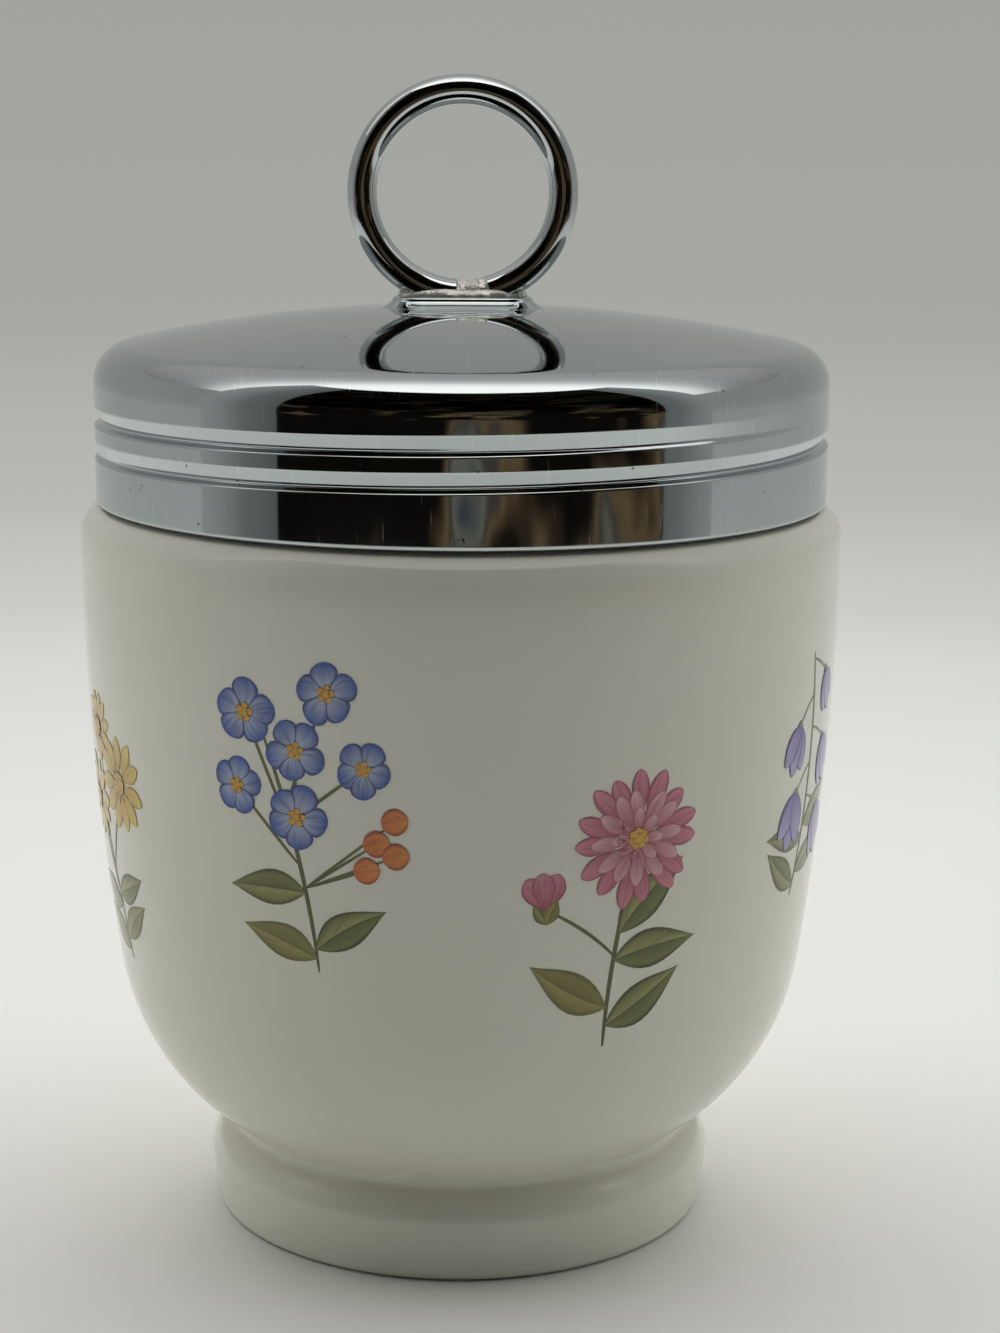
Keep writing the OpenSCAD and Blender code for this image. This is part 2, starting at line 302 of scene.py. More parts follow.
# ---- Materials ----
def material(name):
    """A new material with a plain shader: the material, its tree and the shader."""
    made = bpy.data.materials.new(name)
    made.use_nodes = True
    tree = made.node_tree
    tree.nodes.clear()
    shader = add(tree, "ShaderNodeBsdfPrincipled")
    add(tree, "ShaderNodeOutputMaterial", {"Surface": shader.outputs[0]})
    return made, tree, shader


def shows(tree, surface):
    """Puts a shader's output on the material's surface, in place of the plain shader's."""
    output = next(node for node in tree.nodes if node.type == "OUTPUT_MATERIAL")
    tree.links.new(surface, output.inputs["Surface"])


def glows(tree, colour, strength=1.0):
    """Makes a material give off its colour as light."""
    shows(tree, output_of(tree, "ShaderNodeEmission", {"Color": colour, "Strength": strength}))


def own_place(tree):
    """The piece's own coordinates."""
    return add(tree, "ShaderNodeTexCoord").outputs["Object"]


def own_xyz(tree):
    """The piece's own coordinates as three numbers."""
    return add(tree, "ShaderNodeSeparateXYZ", {0: own_place(tree)}).outputs


def moved(tree, **feeds):
    """The piece's own coordinates, turned and scaled by a Mapping node."""
    return output_of(tree, "ShaderNodeMapping", {"Vector": own_place(tree), **feeds})


def noise_of(tree, scale, detail, coords=None):
    """Noise over the piece's own coordinates, or over others."""
    feeds = {"Vector": coords or own_place(tree), "Scale": scale, "Detail": detail}
    return output_of(tree, "ShaderNodeTexNoise", feeds)


def between(tree, value, low, high, to_low=0.0, to_high=1.0):
    """A value that runs from to_low to to_high while the given one runs from low to high."""
    feeds = {"Value": value, "From Min": low, "From Max": high, "To Min": to_low, "To Max": to_high}
    return output_of(tree, "ShaderNodeMapRange", feeds)


def ramp(tree, value, stops):
    """Colours blended between stops of (value, colour)."""
    node = add(tree, "ShaderNodeValToRGB", {0: value})
    elements = node.color_ramp.elements
    while len(elements) < len(stops):
        elements.new(0.5)
    for element, (place, colour) in zip(elements, stops):
        element.position = place
        element.color = (*colour, 1.0)
    return node.outputs[0]


def mixed(tree, share, a, b):
    """Colour a, with a share of colour b."""
    node = add(tree, "ShaderNodeMix", data_type="RGBA")
    for socket, value in ((node.inputs["Factor"], share), (node.inputs[6], a), (node.inputs[7], b)):
        if isinstance(value, bpy.types.NodeSocket):
            tree.links.new(value, socket)
        else:
            socket.default_value = (*value, 1.0) if isinstance(value, tuple) else value
    return node.outputs[2]


def bump(tree, height, strength, distance):
    feeds = {"Height": height, "Strength": strength, "Distance": distance}
    return output_of(tree, "ShaderNodeBump", feeds)


def effect(name, inputs, outputs):
    """An empty group of numbers in and out, for an effect that several materials share."""
    inputs, outputs = dict.fromkeys(inputs, "Float"), dict.fromkeys(outputs, "Float")
    return group_tree(name, "ShaderNodeTree", inputs, outputs)


def placed(tree, group, **values):
    """A shared effect, placed in a material with its own values."""
    return add(tree, "ShaderNodeGroup", values, node_tree=group).outputs


def fine_scratches():
    """Sparse hairlines from wiping: three directions of a noise stretched long and thin."""
    tree, given, result = effect("fine_scratches", ["Density"], ["Mask"])
    total = None
    for turned, stretch in ((24, (5200, 60, 300)), (-38, (4600, 75, 260)), (81, (5600, 50, 320))):
        long_and_thin = moved(tree, Rotation=(0, 0, math.radians(turned)), Scale=stretch)
        fine = noise_of(tree, scale=1.0, detail=1.0, coords=long_and_thin)
        cut = between(tree, fine, 0.73, 0.80)
        total = cut if total is None else calc(tree, "MAXIMUM", total, cut)
    tree.links.new(calc(tree, "MULTIPLY", total, given["Density"]), result["Mask"])
    return tree


def clear_glaze():
    """The glaze's own unevenness: how dull it is from place to place, and its slow ripple."""
    tree, given, result = effect("clear_glaze", ["Glossiest", "Dullest"], ["Roughness", "Ripple"])
    wiped = noise_of(tree, scale=90.0, detail=2.0)
    tree.links.new(between(tree, wiped, 0.3, 0.8, given["Glossiest"], given["Dullest"]),
                   result["Roughness"])
    tree.links.new(noise_of(tree, scale=110.0, detail=1.0), result["Ripple"])
    return tree


SCRATCHES = fine_scratches()
GLAZE = clear_glaze()


def glaze_over(tree, shader):
    """The same clear glaze lies over the bare porcelain and over its painting."""
    glaze = placed(tree, GLAZE, Glossiest=0.07, Dullest=0.14)
    ripple = bump(tree, glaze["Ripple"], strength=0.10, distance=0.0002)
    feed(tree, shader, {"Roughness": glaze["Roughness"], "Normal": ripple, "IOR": 1.5})
    return glaze["Roughness"]


def bright_plate(name, colour, worn, low, high, density):
    """Bright plate: mirror metal, a little dulled in patches, with fine scratches and pits."""
    made, tree, shader = material(name)
    patches = noise_of(tree, scale=140.0, detail=4.0)
    body = ramp(tree, patches, [(0.35, colour), (0.75, worn)])
    marks = placed(tree, SCRATCHES, Density=density)["Mask"]
    paler = mixed(tree, calc(tree, "MULTIPLY", marks, 0.4), body, (0.82, 0.83, 0.83))
    pits = between(tree, noise_of(tree, scale=1300.0, detail=1.0), 0.775, 0.80)
    haze = between(tree, patches, 0.3, 0.8, low, high)
    feed(tree, shader, {
        "Metallic": 1.0,
        "Base Color": mixed(tree, pits, paler, (0.12, 0.12, 0.11)),
        "Roughness": calc(tree, "MULTIPLY_ADD", marks, 0.10, haze),
        "Normal": bump(tree, marks, strength=0.05, distance=0.00001)})
    return made


def glazed_porcelain():
    """Warm white porcelain under glaze, bare and matt only where the foot stands."""
    made, tree, shader = material("glazed_porcelain")
    clouds = noise_of(tree, scale=38.0, detail=3.0)
    warm = ramp(tree, clouds, [(0.3, (0.775, 0.76, 0.665)), (0.7, (0.81, 0.80, 0.715))])
    grain = noise_of(tree, scale=600.0, detail=2.0)
    ragged_height = calc(tree, "MULTIPLY_ADD", grain, 0.0003, own_xyz(tree)["Z"])
    glazed = between(tree, ragged_height, 0.00022, 0.00034)
    gloss = glaze_over(tree, shader)
    matt_below = calc(tree, "MULTIPLY_ADD", calc(tree, "SUBTRACT", 1.0, glazed), 0.7, gloss)
    feed(tree, shader, {
        "Base Color": mixed(tree, glazed, (0.62, 0.58, 0.50), warm), "Roughness": matt_below})
    return made


def brazing_metal():
    """Dull, grainy brazing metal."""
    made, tree, shader = material("brazing_metal")
    grain = noise_of(tree, scale=900.0, detail=4.0)
    lumps = noise_of(tree, scale=1300.0, detail=3.0)
    feed(tree, shader, {
        "Metallic": 1.0,
        "Base Color": ramp(tree, grain, [(0.3, (0.66, 0.66, 0.60)), (0.7, (0.90, 0.90, 0.85))]),
        "Roughness": between(tree, grain, 0.3, 0.7, 0.60, 0.40),
        "Normal": bump(tree, lumps, strength=0.9, distance=0.0003)})
    return made


def stroke_place(tree):
    """Across and along one brush stroke, each from 0 to 1, and the stroke's own chance value."""
    parts = add(tree, "ShaderNodeSeparateXYZ", {0: output_of(tree, "ShaderNodeUVMap", uv_map="UVMap")})
    own = add(tree, "ShaderNodeAttribute", attribute_name="tint").outputs["Fac"]
    return parts.outputs["X"], parts.outputs["Y"], own


def petal_colour(name, root, tip, rim):
    """Painted petal: shaded from root to tip, streaked along its length, darker at its rim."""
    made, tree, shader = material(name)
    across, along, own = stroke_place(tree)
    body = ramp(tree, along, [(0.08, root), (0.80, tip)])
    apart = calc(tree, "MULTIPLY", own, 40.0)
    lengthwise = vector(
        tree, X=calc(tree, "MULTIPLY", across, 9.0), Y=calc(tree, "MULTIPLY", along, 1.5), Z=apart)
    streak = noise_of(tree, scale=1.0, detail=2.0, coords=lengthwise)
    streaked = mixed(tree, between(tree, streak, 0.45, 0.80, 0.0, 0.75), body, rim)
    edge = calc(tree, "ABSOLUTE", calc(tree, "MULTIPLY_ADD", across, 2.0, -1.0))
    outline = calc(tree, "MAXIMUM", between(tree, edge, 0.70, 0.98), between(tree, along, 0.86, 0.99))
    feed(tree, shader, {"Base Color": mixed(tree, outline, streaked, rim)})
    glaze_over(tree, shader)
    return made


def leaf_colour():
    """Painted leaf: a light and a shaded half, with a dark midrib, side veins and outline."""
    made, tree, shader = material("leaf_green")
    across, along, own = stroke_place(tree)
    dark, shade = (0.045, 0.06, 0.02), (0.12, 0.14, 0.04)
    mid, light = (0.19, 0.20, 0.06), (0.36, 0.34, 0.13)
    halves = ramp(tree, across, [(0.03, dark), (0.14, mid), (0.44, light), (0.49, dark),
                                 (0.54, shade), (0.86, mid), (0.97, dark)])
    apart = calc(tree, "MULTIPLY", own, 40.0)
    slant = calc(tree, "ABSOLUTE", calc(tree, "SUBTRACT", across, 0.5))
    slanted = calc(tree, "MULTIPLY_ADD", slant, -9.0, calc(tree, "MULTIPLY", along, 14.0))
    veins = noise_of(tree, scale=1.0, detail=1.0, coords=vector(tree, X=slanted, Z=apart))
    veined = mixed(tree, between(tree, veins, 0.52, 0.72, 0.0, 0.6), halves, shade)
    yellowed = mixed(tree, between(tree, own, 0.6, 1.0, 0.0, 0.4), veined, (0.34, 0.27, 0.06))
    feed(tree, shader, {"Base Color": yellowed})
    glaze_over(tree, shader)
    return made


LID_PLATE = (0.522, 0.572, 0.585)
LID_WORN = (0.485, 0.53, 0.542)
RING_PLATE = (0.56, 0.60, 0.61)
RING_WORN = (0.50, 0.53, 0.54)

porcelain = glazed_porcelain()
lid_metal = bright_plate("lid_plate", LID_PLATE, LID_WORN, low=0.035, high=0.07, density=1.0)
lip_metal = bright_plate("lip_plate", LID_PLATE, LID_WORN, low=0.04, high=0.08, density=0.8)
ring_metal = bright_plate("ring_plate", RING_PLATE, RING_WORN, low=0.04, high=0.09, density=0.4)
braze_metal = brazing_metal()


# ---- Cup ----
def cup_rows():
    """All round the cup's wall: foot, side, neck, rim, mouth and bore."""
    foot = (arc(FOOT_IN_R - RECESS_ROUND, RECESS_H - RECESS_ROUND, RECESS_ROUND, 90, 0)
            + arc(FOOT_IN_R + FOOT_EDGE, FOOT_EDGE, FOOT_EDGE, 180, 270)
            + arc(FOOT_LOW_R - FOOT_EDGE, FOOT_EDGE, FOOT_EDGE, -90, 0)
            + arc(FOOT_TOP_CR, FOOT_TOP_Z, FOOT_TOP_ROUND, 0, FOOT_TOP_TURN))
    crease = arc(CREASE_CR, CREASE_CZ, CREASE_ROUND, 180 + FOOT_TOP_TURN, 180 - CREASE_A, 8)
    body = (arc(BELLY_CR, BELLY_CZ, BELLY_ROUND, -CREASE_A, -SIDE_A, 3)
            + arc(SIDE_CR, WIDEST_Z, SIDE_ROUND, -SIDE_A + 0.4, 0, 0.4)
            + arc(CUP_R - SHOULDER_ROUND, WIDEST_Z, SHOULDER_ROUND, 6, 90)
            + arc(NECK_R + NECK_FILLET, LEDGE_Z + NECK_FILLET, NECK_FILLET, 270, 180, 15))
    low, high = LEDGE_Z + NECK_FILLET + 0.1, CUP_H - RIM_OUT_ROUND - 0.1
    knots = np.concatenate([np.linspace(-3.72, -1.68, 22), [-1.45, -1.2, -0.95]])
    neck = thread_rows(NECK_R, 1, softened(NECK_RIDGE, 0.14), knots, low, high,
                       NECK_RIDGE_START, NECK_RIDGE_TURNS)
    rim = (arc(NECK_R - RIM_OUT_ROUND, CUP_H - RIM_OUT_ROUND, RIM_OUT_ROUND, 0, 90, 7)
           + arc(MOUTH_R + RIM_IN_ROUND, CUP_H - RIM_IN_ROUND, RIM_IN_ROUND, 90, 180, 7))
    throat_z, throat_low_z = LEDGE_Z + THROAT_UP, WIDEST_Z - THROAT_DOWN
    throat_a = math.degrees(math.asin(THROAT_DOWN / (SIDE_ROUND - WALL)))
    throat_r = SIDE_CR + (SIDE_ROUND - WALL) * math.cos(math.radians(throat_a))
    throat = line((MOUTH_R, CUP_H - RIM_IN_ROUND - 0.2), (MOUTH_R, throat_z), 6)
    for i in range(1, 17):
        t = i / 16
        throat.append((MOUTH_R + (throat_r - MOUTH_R) * eased(t), throat_z + (throat_low_z - throat_z) * t))
    bore = (arc(SIDE_CR, WIDEST_Z, SIDE_ROUND - WALL, -throat_a - 0.4, -SIDE_A, 0.5)
            + arc(BELLY_CR, BELLY_CZ, BELLY_ROUND - WALL, -SIDE_A - 2, -90, 4))
    floor_z = BELLY_CZ - BELLY_ROUND + WALL
    return (rows_of([(0, RECESS_H)] + foot + crease + body) + neck
            + rows_of(rim + throat + bore + [(0, floor_z)]))


# ---- Lid ----
def dome_z(x, y, down=0.0):
    """Height of the dome over a place, or of a face that lies down inside it."""
    return DOME_CZ + np.sqrt((DOME_R - down) ** 2 - x * x - y * y)


def oblong(half_straight, radius):
    """Points round an oblong, one for each column, evenly spaced."""
    straight, bend = 2 * half_straight, math.pi * radius
    length = 2 * straight + 2 * bend
    points = []
    for turn in TURN / 360.0:
        at = (turn * length) % length
        side = 1
        if at > length / 2:
            at, side = length - at, -1
        if at < bend / 2:
            a = at / radius
            x, y = half_straight + radius * math.cos(a), radius * math.sin(a)
        elif at < bend / 2 + straight:
            x, y = half_straight - (at - bend / 2), radius
        else:
            a = math.pi / 2 + (at - bend / 2 - straight) / radius
            x, y = -half_straight + radius * math.cos(a), radius * math.sin(a)
        points.append((x, y * side))
    return np.array(points)


def soft_max(a, b, width):
    """The larger of two heights, with a fillet where they meet."""
    blend = np.clip(0.5 + 0.5 * (a - b) / width, 0, 1)
    return b + (a - b) * blend + width * blend * (1 - blend)


def boss_rows(length, width, top, flare, foot_depth, sheet_down, edge):
    """Rows over a pad that is pressed up in the middle of the dome, out to the dome's edge."""
    half = (length - width) / 2
    rows = []
    for inset in (width / 2, width / 4, 0.6, 0.3):
        ring = oblong(half, max(width / 2 - inset, 0.001))
        rows.append(np.column_stack([ring, np.full(len(ring), top)]))
    for a in np.linspace(90, 0, 7):
        reach = edge * (math.cos(math.radians(a)) - 1)
        ring = oblong(half, width / 2 + reach)
        height = top + edge * (math.sin(math.radians(a)) - 1)
        rows.append(np.column_stack([ring, np.full(len(ring), height)]))
    low = CROWN_Z - sheet_down - foot_depth
    for t in np.linspace(0, 1, 15)[1:]:
        ring = oblong(half, width / 2 + flare * t)
        height = top - edge - (top - edge - low) * (1 - (1 - t) ** 2)
        dome = dome_z(ring[:, 0], ring[:, 1], sheet_down)
        rows.append(np.column_stack([ring, soft_max(np.full(len(ring), height), dome, 0.12)]))
    rim = EDGE_CR if sheet_down == 0 else (DOME_R - sheet_down) * math.sin(math.radians(DOME_A))
    outer = np.stack([rim * TURN_COS, rim * TURN_SIN], 1)
    start = oblong(half, width / 2 + flare)
    for t in np.linspace(0, 1, 25)[1:]:
        ring = start + (outer - start) * t
        rows.append(np.column_stack([ring, dome_z(ring[:, 0], ring[:, 1], sheet_down)]))
    return rows


def lid_rows():
    """All round the lid's sheet: the pad and dome, the skirt and its groove, and the same inside."""
    top = boss_rows(PAD_L, PAD_W, PAD_Z, PAD_FLARE, foot_depth=0.25, sheet_down=0.0, edge=0.3)
    edge = rows_of(arc(EDGE_CR, EDGE_CZ, EDGE_ROUND, 90 - DOME_A, 0, 4)[1:])
    low, high = SKIRT_Z, EDGE_CZ - 0.15
    knots = np.concatenate([np.linspace(-2.15, -0.15, 36), [0.0, 0.3, 0.6]])
    skirt = thread_rows(LID_R, -1, softened(OUTER_GROOVE, 0.09), knots, low, high,
                        GROOVE_START, GROOVE_TURNS + OUTER_GROOVE_RUN_ON, OUTER_GROOVE_FADE)
    knots = np.concatenate([np.linspace(-2.35, 0.25, 22), [0.4]])
    bore = thread_rows(LID_R - SHEET, -1, softened(INNER_RIDGE, 0.1), knots, low, high,
                       GROOVE_START, GROOVE_TURNS)
    inner_edge = rows_of(arc(EDGE_CR, EDGE_CZ, EDGE_ROUND - SHEET, 0, 90 - DOME_A, 6)[:-1])
    under = boss_rows(HOLLOW_L, HOLLOW_W, PAD_Z - RING_FLAT - SHEET, HOLLOW_FLARE,
                      foot_depth=0.1, sheet_down=SHEET, edge=0.1)
    return top + edge + skirt[::-1] + bore + inner_edge + under[::-1]


def lip_rows():
    """The edge of the sheet, rounded underneath."""
    bore_r = LID_R - SHEET
    curl = SHEET / 2
    profile = (line((bore_r, SKIRT_Z), (bore_r, LIP_Z + curl), 3)
               + arc(bore_r + curl, LIP_Z + curl, curl, 180, 360, 9)[1:]
               + line((LID_R, LIP_Z + 2 * curl), (LID_R, SKIRT_Z), 2))
    return rows_of(profile + profile[:1])


# ---- Finger ring and its brazing metal ----
GAP_MID = -90 + math.degrees(math.asin(GAP_ASIDE / RING_R))
GAP_SWEEP = math.degrees(WIRE_GAP / RING_R)
TAPER_PART = 1 / 200
BRAZE_SINK = 0.05


def bent_ring_tree():
    """A round bar bent to an open ring that stands in the XZ plane, its foot pressed flat."""
    tree, given, result = shape_tree("bent_ring", {
        "Ring Radius": "Float", "Wire Radius": "Float", "Start": "Float", "Sweep": "Float",
        "Centre Height": "Float", "Seat Height": "Float", "Steps": "Int", "Sides": "Int",
        "End Taper": "Float", "Finish": "Material"})
    bend = output_of(tree, "GeometryNodeCurveArc", {
        "Resolution": given["Steps"], "Radius": given["Ring Radius"],
        "Start Angle": given["Start"], "Sweep Angle": given["Sweep"]}, mode="RADIUS")
    stood = output_of(tree, "GeometryNodeTransform", {
        "Geometry": bend, "Translation": vector(tree, Z=given["Centre Height"]),
        "Rotation": (math.pi / 2, 0, 0)})
    part = add(tree, "GeometryNodeSplineParameter").outputs["Factor"]
    from_end = calc(tree, "MINIMUM", part, calc(tree, "SUBTRACT", 1.0, part))
    near_end = calc(tree, "MAXIMUM", calc(tree, "MULTIPLY_ADD", from_end, -1 / TAPER_PART, 1.0), 0.0)
    width = calc(tree, "SUBTRACT", 1.0, calc(tree, "MULTIPLY", given["End Taper"],
                                             calc(tree, "MULTIPLY", near_end, near_end)))
    section = output_of(tree, "GeometryNodeCurvePrimitiveCircle", {
        "Resolution": given["Sides"], "Radius": given["Wire Radius"]}, mode="RADIUS")
    bar = output_of(tree, "GeometryNodeCurveToMesh", {
        "Curve": stood, "Profile Curve": section, "Scale": width, "Fill Caps": True})
    place = add(tree, "ShaderNodeSeparateXYZ", {0: output_of(tree, "GeometryNodeInputPosition")}).outputs
    pressed = vector(tree, X=place["X"], Y=place["Y"],
                     Z=calc(tree, "MAXIMUM", place["Z"], given["Seat Height"]))
    seated = output_of(tree, "GeometryNodeSetPosition", {"Geometry": bar, "Position": pressed})
    finish_shape(tree, seated, given, result)
    return tree


def braze_in_gap():
    """The rough metal between the wire's two ends, and a little way inside them."""
    reach_in, sunk, waves, grain = 3.0, 0.10, 0.14, 0.05
    start, end = GAP_MID - GAP_SWEEP / 2 - reach_in, GAP_MID + GAP_SWEEP / 2 + reach_in
    steps, sides, points = 40, 40, []
    for i in range(steps + 1):
        a = math.radians(start + (end - start) * i / steps)
        for j in range(sides):
            b = 2 * math.pi * j / sides
            place = Vector((6.0 * i / steps, math.cos(b) * WIRE_R, math.sin(b) * WIRE_R))
            radius = WIRE_R - sunk + waves * noise.noise(place * 1.7) + grain * noise.noise(place * 5.0)
            reach = RING_R + radius * math.cos(b)
            height = max(RING_CZ + reach * math.sin(a), PAD_Z - BRAZE_SINK)
            points.append((reach * math.cos(a) * MM, radius * math.sin(b) * MM, height * MM))
    ends = [tuple(range(sides)), tuple(steps * sides + j for j in range(sides))]
    return finish_mesh("braze_in_gap", points, ends + quads(steps + 1, sides))


def braze_bead():
    """The bead of brazing metal on the pad, all round the foot of the ring."""
    half_length, half_width, thick = 4.9, 1.05, 0.70
    steps, sides, points = 180, 12, []
    for i in range(steps):
        a = 2 * math.pi * i / steps
        wobble = noise.noise(Vector((math.cos(a) * 2.3, math.sin(a) * 2.3, 0.7)))
        for j in range(sides):
            b = math.pi * j / (sides - 1)
            x_reach = half_length + 0.8 * math.cos(b) + 0.25 * wobble
            y_reach = half_width + 0.75 * math.cos(b) + 0.16 * wobble
            height = PAD_Z - BRAZE_SINK + thick * math.sin(b) * (1 + 0.35 * wobble)
            points.append((x_reach * math.cos(a) * MM, y_reach * math.sin(a) * MM, height * MM))
    return finish_mesh("braze_bead", points, quads(steps, sides, loop=True))


# ---- The pieces of the cup and the lid ----
def dressed(piece, finish, body, node=None):
    """Gives a piece its material and the body that it rides on, and hides the solid that it stands for."""
    if finish is not None:
        piece.data.materials.append(finish)
    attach(piece, body)
    if node:
        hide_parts(node)
    return piece


cup = dressed(skin("cup_porcelain", cup_rows()), porcelain, "cup", "cup")
lid = dressed(skin("lid_pressed_cap", lid_rows()), lid_metal, "lid", "lid_cap")
lip = dressed(skin("lid_curled_lip", lip_rows()), lip_metal, "lip", "lid_lip")
for piece in (lid, lip):
    piece.data.set_sharp_from_angle(angle=SHARP)
ring = shaped("finger_ring_wire", bent_ring_tree(), bpy.data.meshes.new("nothing"), {
    "Ring Radius": RING_R * MM, "Wire Radius": WIRE_R * MM,
    "Start": math.radians(GAP_MID + GAP_SWEEP / 2), "Sweep": math.radians(360 - GAP_SWEEP),
    "Centre Height": RING_CZ * MM, "Seat Height": (PAD_Z - RING_FLAT) * MM,
    "Steps": 241, "Sides": 40, "End Taper": 0.16, "Finish": ring_metal})
ring.data.set_sharp_from_angle(angle=SHARP)
dressed(ring, None, "lid", "finger_ring")
dressed(braze_in_gap(), braze_metal, "lid", "ring_braze")
dressed(braze_bead(), braze_metal, "lid")

# ---- Painted sprigs, fired into the glaze ----
SHEET_SINK = 0.03
SHEET_THICK = 0.042
LAYER_STEP = 0.016
STROKE_STEP = 0.004
STROKE_LEVELS = 5
dice = random.Random(11)


def brush_stroke_tree():
    """Brush strokes: each point becomes a thin petal or leaf that lies on the cup's side."""
    tree, given, result = shape_tree("brush_strokes", {
        "Cup": "Object", "Cup Radius": "Float", "Fullness": "Float", "Bluntness": "Float",
        "Columns": "Int", "Rows": "Int", "Sink": "Float", "Thickness": "Float", "Finish": "Material"})

    def stored(label, kind="FLOAT"):
        return output_of(tree, "GeometryNodeInputNamedAttribute", {"Name": label}, data_type=kind)

    def welded(shape):
        feeds = {"Geometry": shape, "Distance": STROKE_WELD}
        return output_of(tree, "GeometryNodeMergeByDistance", feeds)

    blank = add(tree, "GeometryNodeMeshGrid", {
        "Size X": 1.0, "Size Y": 1.0, "Vertices X": given["Columns"], "Vertices Y": given["Rows"]})
    mapped = output_of(tree, "GeometryNodeStoreNamedAttribute", {
        "Geometry": blank.outputs["Mesh"], "Name": "UVMap", "Value": blank.outputs["UV Map"]},
        data_type="FLOAT2", domain="CORNER")
    marked = output_of(tree, "GeometryNodeStoreNamedAttribute", {
        "Geometry": mapped, "Name": "brush", "Value": blank.outputs["UV Map"]},
        data_type="FLOAT_VECTOR", domain="POINT")
    copies = output_of(tree, "GeometryNodeInstanceOnPoints", {"Points": given["Shape"], "Instance": marked})
    laid = output_of(tree, "GeometryNodeRealizeInstances", {"Geometry": copies})

    place = add(tree, "ShaderNodeSeparateXYZ", {0: stored("brush", "FLOAT_VECTOR")}).outputs
    side = calc(tree, "MULTIPLY_ADD", place["X"], -2.0, 1.0)
    half_turn = calc(tree, "COSINE", calc(tree, "MULTIPLY", place["Y"], math.pi))
    along = calc(tree, "MULTIPLY_ADD", half_turn, -0.5, 0.5)
    fullest = calc(tree, "POWER", along, given["Fullness"])
    swell = calc(tree, "SINE", calc(tree, "MULTIPLY", fullest, math.pi))
    width = calc(tree, "MULTIPLY", stored("breadth"),
                 calc(tree, "POWER", calc(tree, "MAXIMUM", swell, 0.0), given["Bluntness"]))
    forward = calc(tree, "MULTIPLY", stored("reach"), along)
    bow = calc(tree, "MULTIPLY", stored("bend"), calc(tree, "MULTIPLY", along, along))
    sideways = calc(tree, "MULTIPLY_ADD", side, width, bow)
    aim_cos, aim_sin = calc(tree, "COSINE", stored("aim")), calc(tree, "SINE", stored("aim"))
    turned_x = calc(tree, "SUBTRACT", calc(tree, "MULTIPLY", aim_cos, forward),
                    calc(tree, "MULTIPLY", aim_sin, sideways))
    turned_y = calc(tree, "ADD", calc(tree, "MULTIPLY", aim_sin, forward),
                    calc(tree, "MULTIPLY", aim_cos, sideways))
    across = calc(tree, "ADD", stored("across"), turned_x)
    height = calc(tree, "ADD", stored("height"), turned_y)

    angle = calc(tree, "SUBTRACT", calc(tree, "DIVIDE", across, given["Cup Radius"]), math.pi / 2)
    out_x, out_y = calc(tree, "COSINE", angle), calc(tree, "SINE", angle)
    far = calc(tree, "MULTIPLY", given["Cup Radius"], 2.0)
    source = vector(
        tree, X=calc(tree, "MULTIPLY", out_x, far), Y=calc(tree, "MULTIPLY", out_y, far), Z=height)
    inward = vector(tree, X=calc(tree, "MULTIPLY", out_x, -1.0), Y=calc(tree, "MULTIPLY", out_y, -1.0))
    wall = add(tree, "GeometryNodeObjectInfo", {"Object": given["Cup"]}).outputs["Geometry"]
    hit = add(tree, "GeometryNodeRaycast", {
        "Target Geometry": wall, "Source Position": source,
        "Ray Direction": inward, "Ray Length": far}).outputs
    level = calc(tree, "SUBTRACT", stored("lift"), given["Sink"])
    off_wall = output_of(tree, "ShaderNodeVectorMath", {0: hit["Hit Normal"], "Scale": level},
                         operation="SCALE")
    spot = output_of(tree, "ShaderNodeVectorMath", {0: hit["Hit Position"], 1: off_wall}, operation="ADD")
    wrapped = output_of(tree, "GeometryNodeSetPosition", {"Geometry": laid, "Position": spot})

    clean = welded(wrapped)
    raised = output_of(tree, "GeometryNodeExtrudeMesh", {
        "Mesh": clean, "Offset Scale": given["Thickness"], "Individual": False}, mode="FACES")
    under = output_of(tree, "GeometryNodeFlipFaces", {"Mesh": clean})
    both = add(tree, "GeometryNodeJoinGeometry", {"Geometry": raised})
    tree.links.new(under, both.inputs[0])
    finish_shape(tree, welded(both.outputs[0]), given, result)
    return tree


# Each kind of stroke: how far forward it is widest, how blunt its ends are, and its layer.
KINDS = {
    "stem": (1.0, 0.25, 0),
    "leaf": (0.80, 1.15, 1),
    "blue_petal": (1.35, 0.55, 2),
    "pink_petal": (1.45, 0.60, 2),
    "pink_inner_petal": (1.30, 0.60, 3),
    "yellow_petal": (1.25, 0.65, 2),
    "violet_petal": (0.95, 0.60, 3),
    "berry": (1.0, 0.5, 4),
    "flower_eye": (1.0, 0.5, 5),
}
painted = {kind: [] for kind in KINDS}


def sprig_brush(azimuth, middle, tilt, size):
    """Hands back a brush that paints strokes in one sprig's own millimetres and degrees."""
    turn = math.radians(tilt)

    def paint(kind, x, y, aim, reach, breadth, bend=0.0):
        strokes = painted[kind]
        across = math.radians(azimuth) * CUP_R + size * (x * math.cos(turn) - y * math.sin(turn))
        height = middle + size * (x * math.sin(turn) + y * math.cos(turn))
        layer = KINDS[kind][2]
        lift = layer * LAYER_STEP + (len(strokes) % STROKE_LEVELS) * STROKE_STEP
        strokes.append({
            "across": across * MM, "height": height * MM, "aim": math.radians(aim + tilt),
            "reach": reach * size * MM, "breadth": breadth * size * MM, "bend": bend * size * MM,
            "lift": lift * MM, "tint": dice.random()})
    return paint


def on_stem(x, y, aim, reach, bend, part):
    """The point of a stem at a part of its length."""
    a = math.radians(aim)
    forward, aside = reach * part, bend * part * part
    return x + forward * math.cos(a) - aside * math.sin(a), y + forward * math.sin(a) + aside * math.cos(a)


